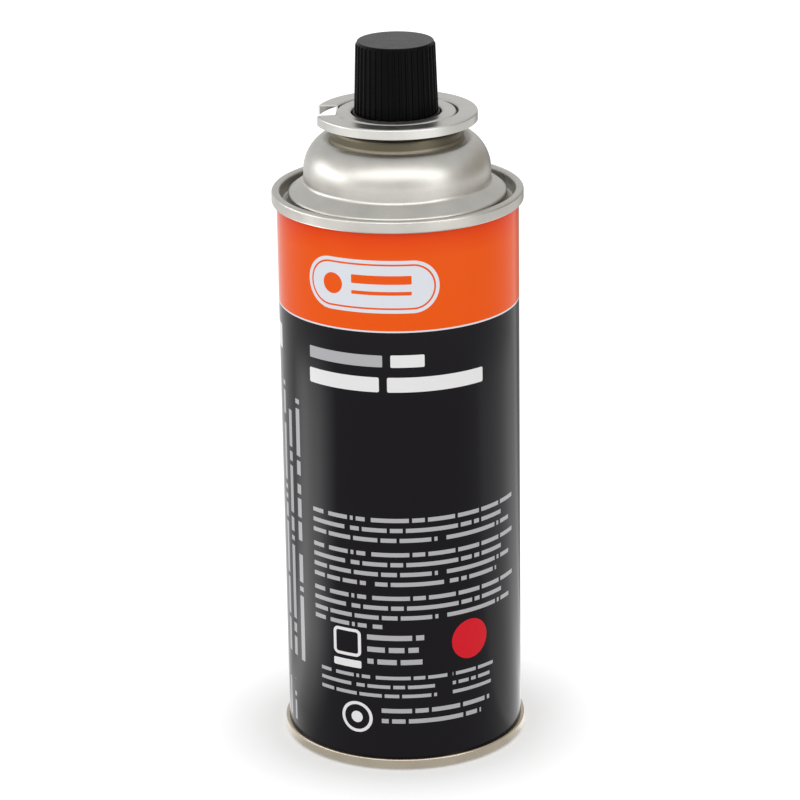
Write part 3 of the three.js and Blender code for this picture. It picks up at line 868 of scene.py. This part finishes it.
def make_cup():
    """The valve cup: curl, recess, and the pedestal with its clinch and its hole."""
    corners = [
        (CURL_R, COLLAR_LIP_Z),
        (CURL_R, CURL_TOP_Z, CURL_ROUND),
        (RECESS_R, CURL_TOP_Z, CURL_ROUND),
        (RECESS_R, RECESS_FLOOR_Z, RECESS_ROUND),
        (PEDESTAL_R, RECESS_FLOOR_Z, PEDESTAL_FOOT_ROUND),
        (PEDESTAL_R, CLINCH_Z - CLINCH_SLOPE),
        (PEDESTAL_R - CLINCH_DEPTH, CLINCH_Z),
        (PEDESTAL_R - CLINCH_DEPTH, CLINCH_Z + CLINCH_H),
        (PEDESTAL_R, CLINCH_Z + CLINCH_H + CLINCH_SLOPE),
        (PEDESTAL_R, PEDESTAL_TOP_Z, PEDESTAL_ROUND),
        (PEDESTAL_HOLE_R, PEDESTAL_TOP_Z),
    ]
    return pressed("cup_pressing", corners, CAN_STEPS, CUP_SHEET)


def make_stem():
    """The hollow stem: spigot for the spring, head and tip."""
    corners = [
        (0, SPIGOT_Z),
        (SPIGOT_R, SPIGOT_Z, STEM_TIP_ROUND),
        (SPIGOT_R, STEM_HEAD_BOTTOM_Z),
        (STEM_HEAD_R, STEM_HEAD_BOTTOM_Z, STEM_EDGE_ROUND),
        (STEM_HEAD_R, STEM_HEAD_TOP_Z, STEM_EDGE_ROUND),
        (STEM_R, STEM_HEAD_TOP_Z),
        (STEM_R, STEM_TOP_Z, STEM_TIP_ROUND),
        (STEM_BORE_R, STEM_TOP_Z, STEM_EDGE_ROUND),
        (STEM_BORE_R, BORE_FLOOR_Z),
        (0, BORE_FLOOR_Z),
    ]
    return turned("stem_turning", corners, VALVE_STEPS, closed=False)


def raise_ribs(piece):
    """Pulls the ribs out of the cap's wall, one band of faces in each pitch."""
    pitch = 2 * math.pi / RIB_COUNT

    def on_rib(face):
        centre = face.calc_center_median()
        upright = abs(face.normal.z) < WALL_RISE
        on_wall = upright and CAP_RING_TOP_Z * MM < centre.z < CAP_RIB_TOP_Z * MM
        outer = math.hypot(centre.x, centre.y) > CAP_OUTSIDE_R * MM
        share = (math.atan2(centre.y, centre.x) / pitch) % 1.0
        return on_wall and outer and share < RIB_STEPS_WIDE / STEPS_PER_RIB

    enter_edit(piece)
    choose(piece, on_rib, "faces")
    bpy.ops.mesh.extrude_region_move(TRANSFORM_OT_translate={"value": (0, 0, 0)})
    bpy.ops.transform.resize(value=(RIB_SCALE, RIB_SCALE, 1), center_override=(0, 0, 0))
    leave_edit()


def make_cap():
    """The cap: a thin cup upside down with ribs outside, and the ring at its foot that sits in the recess."""
    ring_bottom_z = CAP_RING_TOP_Z - CAP_RING_H
    corners = [
        (0, CAP_CEILING_Z),
        (CAP_INNER_HEAD_R, CAP_CEILING_Z, CAP_CEILING_ROUND),
        (CAP_INNER_FOOT_R, RECESS_FLOOR_Z),
        (CAP_PLUG_R, RECESS_FLOOR_Z),
        (CAP_PLUG_R, ring_bottom_z),
        (CAP_RING_R, ring_bottom_z),
        (CAP_RING_R, CAP_RING_TOP_Z, CAP_RING_ROUND),
        (CAP_FOOT_R, CAP_RING_TOP_Z),
        (CAP_HEAD_R, CAP_RIB_TOP_Z),
        (CAP_HEAD_R, CAP_TOP_Z, CAP_DISC_ROUND),
        (0, CAP_TOP_Z),
    ]
    piece = draw_section("ribbed_cap", corners)
    spin_section(RIB_COUNT * STEPS_PER_RIB)
    leave_edit()
    raise_ribs(piece)
    add_modifier(piece, "BEVEL", width=RIB_ROUND * MM, segments=3, limit_method="ANGLE",
                 angle_limit=RIB_BEVEL_FROM)
    finish_surface(piece)
    return piece


def make_spring():
    """A finer copy of the coil."""
    piece = frame["nodes"]["valve_spring"].copy()
    piece.data = piece.data.copy()
    piece.name = piece.data.name = "spring_coil"
    piece.parent = None
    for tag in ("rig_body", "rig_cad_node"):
        del piece[tag]
    bpy.context.scene.collection.objects.link(piece)
    enter_edit(piece)
    bpy.ops.mesh.select_all(action="SELECT")
    bpy.ops.mesh.remove_doubles(threshold=COIL_WELD)
    bpy.ops.mesh.tris_convert_to_quads()
    leave_edit()
    add_modifier(piece, "SUBSURF", levels=1, render_levels=1)
    add_modifier(piece, "DISPLACE", strength=SPRING_FULLNESS * MM, mid_level=0)
    finish_surface(piece)
    return piece


# Scene round the part

def place_camera():
    """The camera that was fitted to the photo's rims."""
    tilt, roll, yaw = (math.radians(v) for v in (CAMERA_TILT, CAMERA_ROLL, CAMERA_YAW))
    ahead = Vector((math.sin(yaw) * math.cos(tilt), math.cos(yaw) * math.cos(tilt), -math.sin(tilt)))
    level = Vector((math.cos(yaw), -math.sin(yaw), 0))
    upright = level.cross(ahead)
    right = level * math.cos(roll) + upright * math.sin(roll)
    up = upright * math.cos(roll) - level * math.sin(roll)
    camera = bpy.data.objects.new("camera", bpy.data.cameras.new("camera"))
    bpy.context.scene.collection.objects.link(camera)
    camera.matrix_world = Matrix((right, up, -ahead)).transposed().to_4x4()
    camera.location = CAMERA_PLACE
    camera.data.sensor_width = CAMERA_SENSOR
    camera.data.lens = CAMERA_LENS
    camera.data.clip_start, camera.data.clip_end = CAMERA_SEES
    bpy.context.scene.camera = camera


def aim_from(place):
    """The direction from a lamp or card to the part."""
    return Vector(AIM) - Vector(place)


def add_light(name, place, size, glow, diffuse=True, glossy=True):
    """A lamp with a width and height, and a glow of which 1 is as bright as the white background."""
    width, height = size
    lamp = bpy.data.lights.new(name, "AREA")
    lamp.shape = "RECTANGLE"
    lamp.size = width
    lamp.size_y = height
    lamp.energy = glow * math.pi * width * height
    holder = bpy.data.objects.new(name, lamp)
    bpy.context.scene.collection.objects.link(holder)
    holder.location = place
    holder.rotation_euler = aim_from(place).to_track_quat("-Z", "Y").to_euler()
    holder.visible_camera = False
    holder.visible_diffuse = diffuse
    holder.visible_glossy = glossy


def add_card(name, place, size, colour):
    """A glowing card that only shows in polished surfaces."""
    deselect_all()
    bpy.ops.mesh.primitive_plane_add(size=1)
    card = bpy.context.object
    card.name = name
    turn = aim_from(place).to_track_quat("Z", "Y").to_matrix().to_4x4()
    stretch = Matrix.Diagonal((*size, 1, 1))
    card.data.transform(Matrix.Translation(place) @ turn @ stretch)
    finish = Finish(name)
    glow = finish.node("ShaderNodeEmission", inputs={"Color": (*colour, 1), "Strength": 1.0})
    finish.node("ShaderNodeOutputMaterial", inputs={"Surface": glow.outputs[0]})
    card.data.materials.append(finish.material)
    card.visible_camera = False
    card.visible_diffuse = False
    card.visible_transmission = False
    card.visible_shadow = False


# Paper floor: its size in metres, and the light that lifts it to white away from the can
FLOOR_SIZE = 8
FLOOR_Z = -0.0002
PAPER = (0.8, 0.8, 0.8)
SHADOW_REACH = (0.036, 0.07)
LIFT = (0.15, 0.38)
# What polished surfaces see of the floor, more or less than 1, which is white.
# Bearings are in degrees from the front, to the right, and reaches in metres from the axis.
NEAR_REACH = (0.38, 0.34)
FAR_REACH = (0.41, 0.46)
BEYOND_REACH = (0.6, 0.68)
LEFT_POOL = 3.2
LEFT_POOL_BEARINGS = (-118.0, -100.0, -82.0, -62.0)
LEFT_POOL_REACH = (0.05, 0.11)
LEFT_POOL_AT_FOOT = 0.1
RIGHT_POOL = 0.5
RIGHT_POOL_BEARINGS = (74.0, 80.0, 120.0, 135.0)
BEHIND_SHADE = 0.7
BEHIND_BEARINGS = (142.0, 150.0, 172.0, 179.0)
BEYOND_POOL = 0.4
BEYOND_BEARINGS = (14.0, 24.0, 54.0, 64.0)
FRONT_BEARINGS = (75.0, 60.0)
FRONT_FAR_POOL = 0.5
FRONT_NEAR_SHADE = 0.2


def mirrored_floor(finish):
    """How bright polished surfaces see the floor: brighter pools at the sides and in front, dark behind."""
    reach = finish.from_axis()
    bearing = finish.bearing() * (180 / math.pi)
    near = finish.ramp(reach, *NEAR_REACH)
    far = finish.ramp(reach, *FAR_REACH)
    left = finish.window(bearing, *LEFT_POOL_BEARINGS) * near
    left = left * finish.ramp(reach, *LEFT_POOL_REACH, LEFT_POOL_AT_FOOT, 1.0)
    right = finish.window(bearing, *RIGHT_POOL_BEARINGS) * near
    behind = finish.window(bearing, *BEHIND_BEARINGS)
    beyond = finish.window(bearing, *BEYOND_BEARINGS) * finish.ramp(reach, *BEYOND_REACH)
    front = finish.ramp(abs(bearing), *FRONT_BEARINGS)
    sides = 1.0 + left * LEFT_POOL + right * RIGHT_POOL - behind * BEHIND_SHADE + beyond * BEYOND_POOL
    return sides + front * (far * FRONT_FAR_POOL - near * FRONT_NEAR_SHADE)


def make_floor():
    """White paper, which keeps the can's shadow. Polished surfaces see mirrored_floor instead."""
    deselect_all()
    bpy.ops.mesh.primitive_plane_add(size=FLOOR_SIZE, location=(0, 0, FLOOR_Z))
    floor = bpy.context.object
    floor.name = "floor"
    finish = Finish("floor_paper")
    rays = finish.node("ShaderNodeLightPath")
    glossy = Field(finish, rays.outputs["Is Glossy Ray"])
    seen = glossy.either(Field(finish, rays.outputs["Is Camera Ray"]))
    seen = seen.either(Field(finish, rays.outputs["Is Transmission Ray"]))
    lift = seen * finish.ramp(finish.from_axis(), *SHADOW_REACH, *LIFT)
    paper = finish.node("ShaderNodeBsdfDiffuse", inputs={"Color": (*PAPER, 1)})
    glow = finish.node("ShaderNodeEmission", inputs={"Strength": lift})
    shown = finish.node("ShaderNodeAddShader", inputs={0: paper.outputs[0], 1: glow.outputs[0]})
    mirror = finish.node("ShaderNodeEmission", inputs={"Strength": mirrored_floor(finish)})
    both = finish.node("ShaderNodeMixShader", inputs={
        0: glossy, 1: shown.outputs[0], 2: mirror.outputs[0]})
    finish.node("ShaderNodeOutputMaterial", inputs={"Surface": both.outputs[0]})
    floor.data.materials.append(finish.material)


def light_world():
    """A white world: as bright as WORLD_FILL where it lights the can, and plain white where it is seen."""
    world = bpy.data.worlds.new("studio")
    bpy.context.scene.world = world
    world.use_nodes = True
    tree = world.node_tree
    tree.nodes.clear()
    rays = tree.nodes.new("ShaderNodeLightPath")
    seen = rays.outputs["Is Camera Ray"]
    for kind in ("Is Glossy Ray", "Is Transmission Ray"):
        either = tree.nodes.new("ShaderNodeMath")
        either.operation = "MAXIMUM"
        tree.links.new(seen, either.inputs[0])
        tree.links.new(rays.outputs[kind], either.inputs[1])
        seen = either.outputs[0]
    strength = tree.nodes.new("ShaderNodeMapRange")
    strength.inputs["To Min"].default_value = WORLD_FILL
    strength.inputs["To Max"].default_value = 1.0
    background = tree.nodes.new("ShaderNodeBackground")
    output = tree.nodes.new("ShaderNodeOutputWorld")
    tree.links.new(seen, strength.inputs["Value"])
    tree.links.new(strength.outputs["Result"], background.inputs["Strength"])
    tree.links.new(background.outputs[0], output.inputs["Surface"])


# Light: the two softboxes light the can, and the panels and the flag are only seen in its polished surfaces
WORLD_FILL = 1.2
AIM = (0, 0, 0.165)
FLAG_TAN = (0.5, 0.46, 0.40)

place_camera()
light_world()
make_floor()
add_light("key_softbox", (-0.6, -0.9, 1.15), (0.5, 0.5), 2.2, glossy=False)
add_light("top_softbox", (0.05, 0.1, 0.95), (0.5, 0.5), 1.6, glossy=False)
add_light("left_panel", (-0.32, 0.0, 0.225), (0.34, 0.11), 2.7, diffuse=False)
add_light("front_panel", (0, -0.54, 0.60), (1.9, 0.34), 2.1, diffuse=False)
add_light("right_strip", (0.518, -0.435, 0.33), (0.2, 0.34), 1.5, diffuse=False)
add_card("right_flag", (0.464, 0.187, 0.225), (0.7, 0.24), FLAG_TAN)

# The dome's tinplate carries the painted shadow and painted reflection on its neck
dome_tin = tinplate("bare_tinplate", DOME_TIN, 0.37, painted_neck_shade=1.0)
seam_tin = tinplate("base_tinplate", SEAM_TIN, 0.26)
cup_tin = tinplate("cup_tinplate", COLLAR_TIN, 0.33, grain=0.03)
plastic = acetal()

place_piece(make_body(), "can", "lacquered_can", lacquer(), "can")
place_piece(make_dome(), "can", "tinplate", dome_tin, "can")
place_piece(make_base(), "can", "tinplate", seam_tin, "can")
place_piece(make_collar(), "can", "tinplate", cup_tin, "notched_collar")
place_piece(make_cup(), "can", "tinplate", cup_tin, "valve_cup")
place_piece(make_stem(), "stem", "white_plastic", plastic, "valve_stem")
place_piece(make_cap(), "cap", "black_plastic", cap_plastic(), "cap")

coil = make_spring()
place_piece(coil, "can", "spring_steel", spring_wire(), "valve_spring")
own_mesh(coil)

gasket = rubber()
for node, material in (("cup_gasket", gasket), ("stem_gasket", gasket),
                       ("valve_housing", plastic), ("vapour_tube", plastic)):
    mesh = frame["nodes"][node].data
    mesh.materials.clear()
    mesh.materials.append(material)

bpy.context.scene.view_settings.view_transform = "Standard"
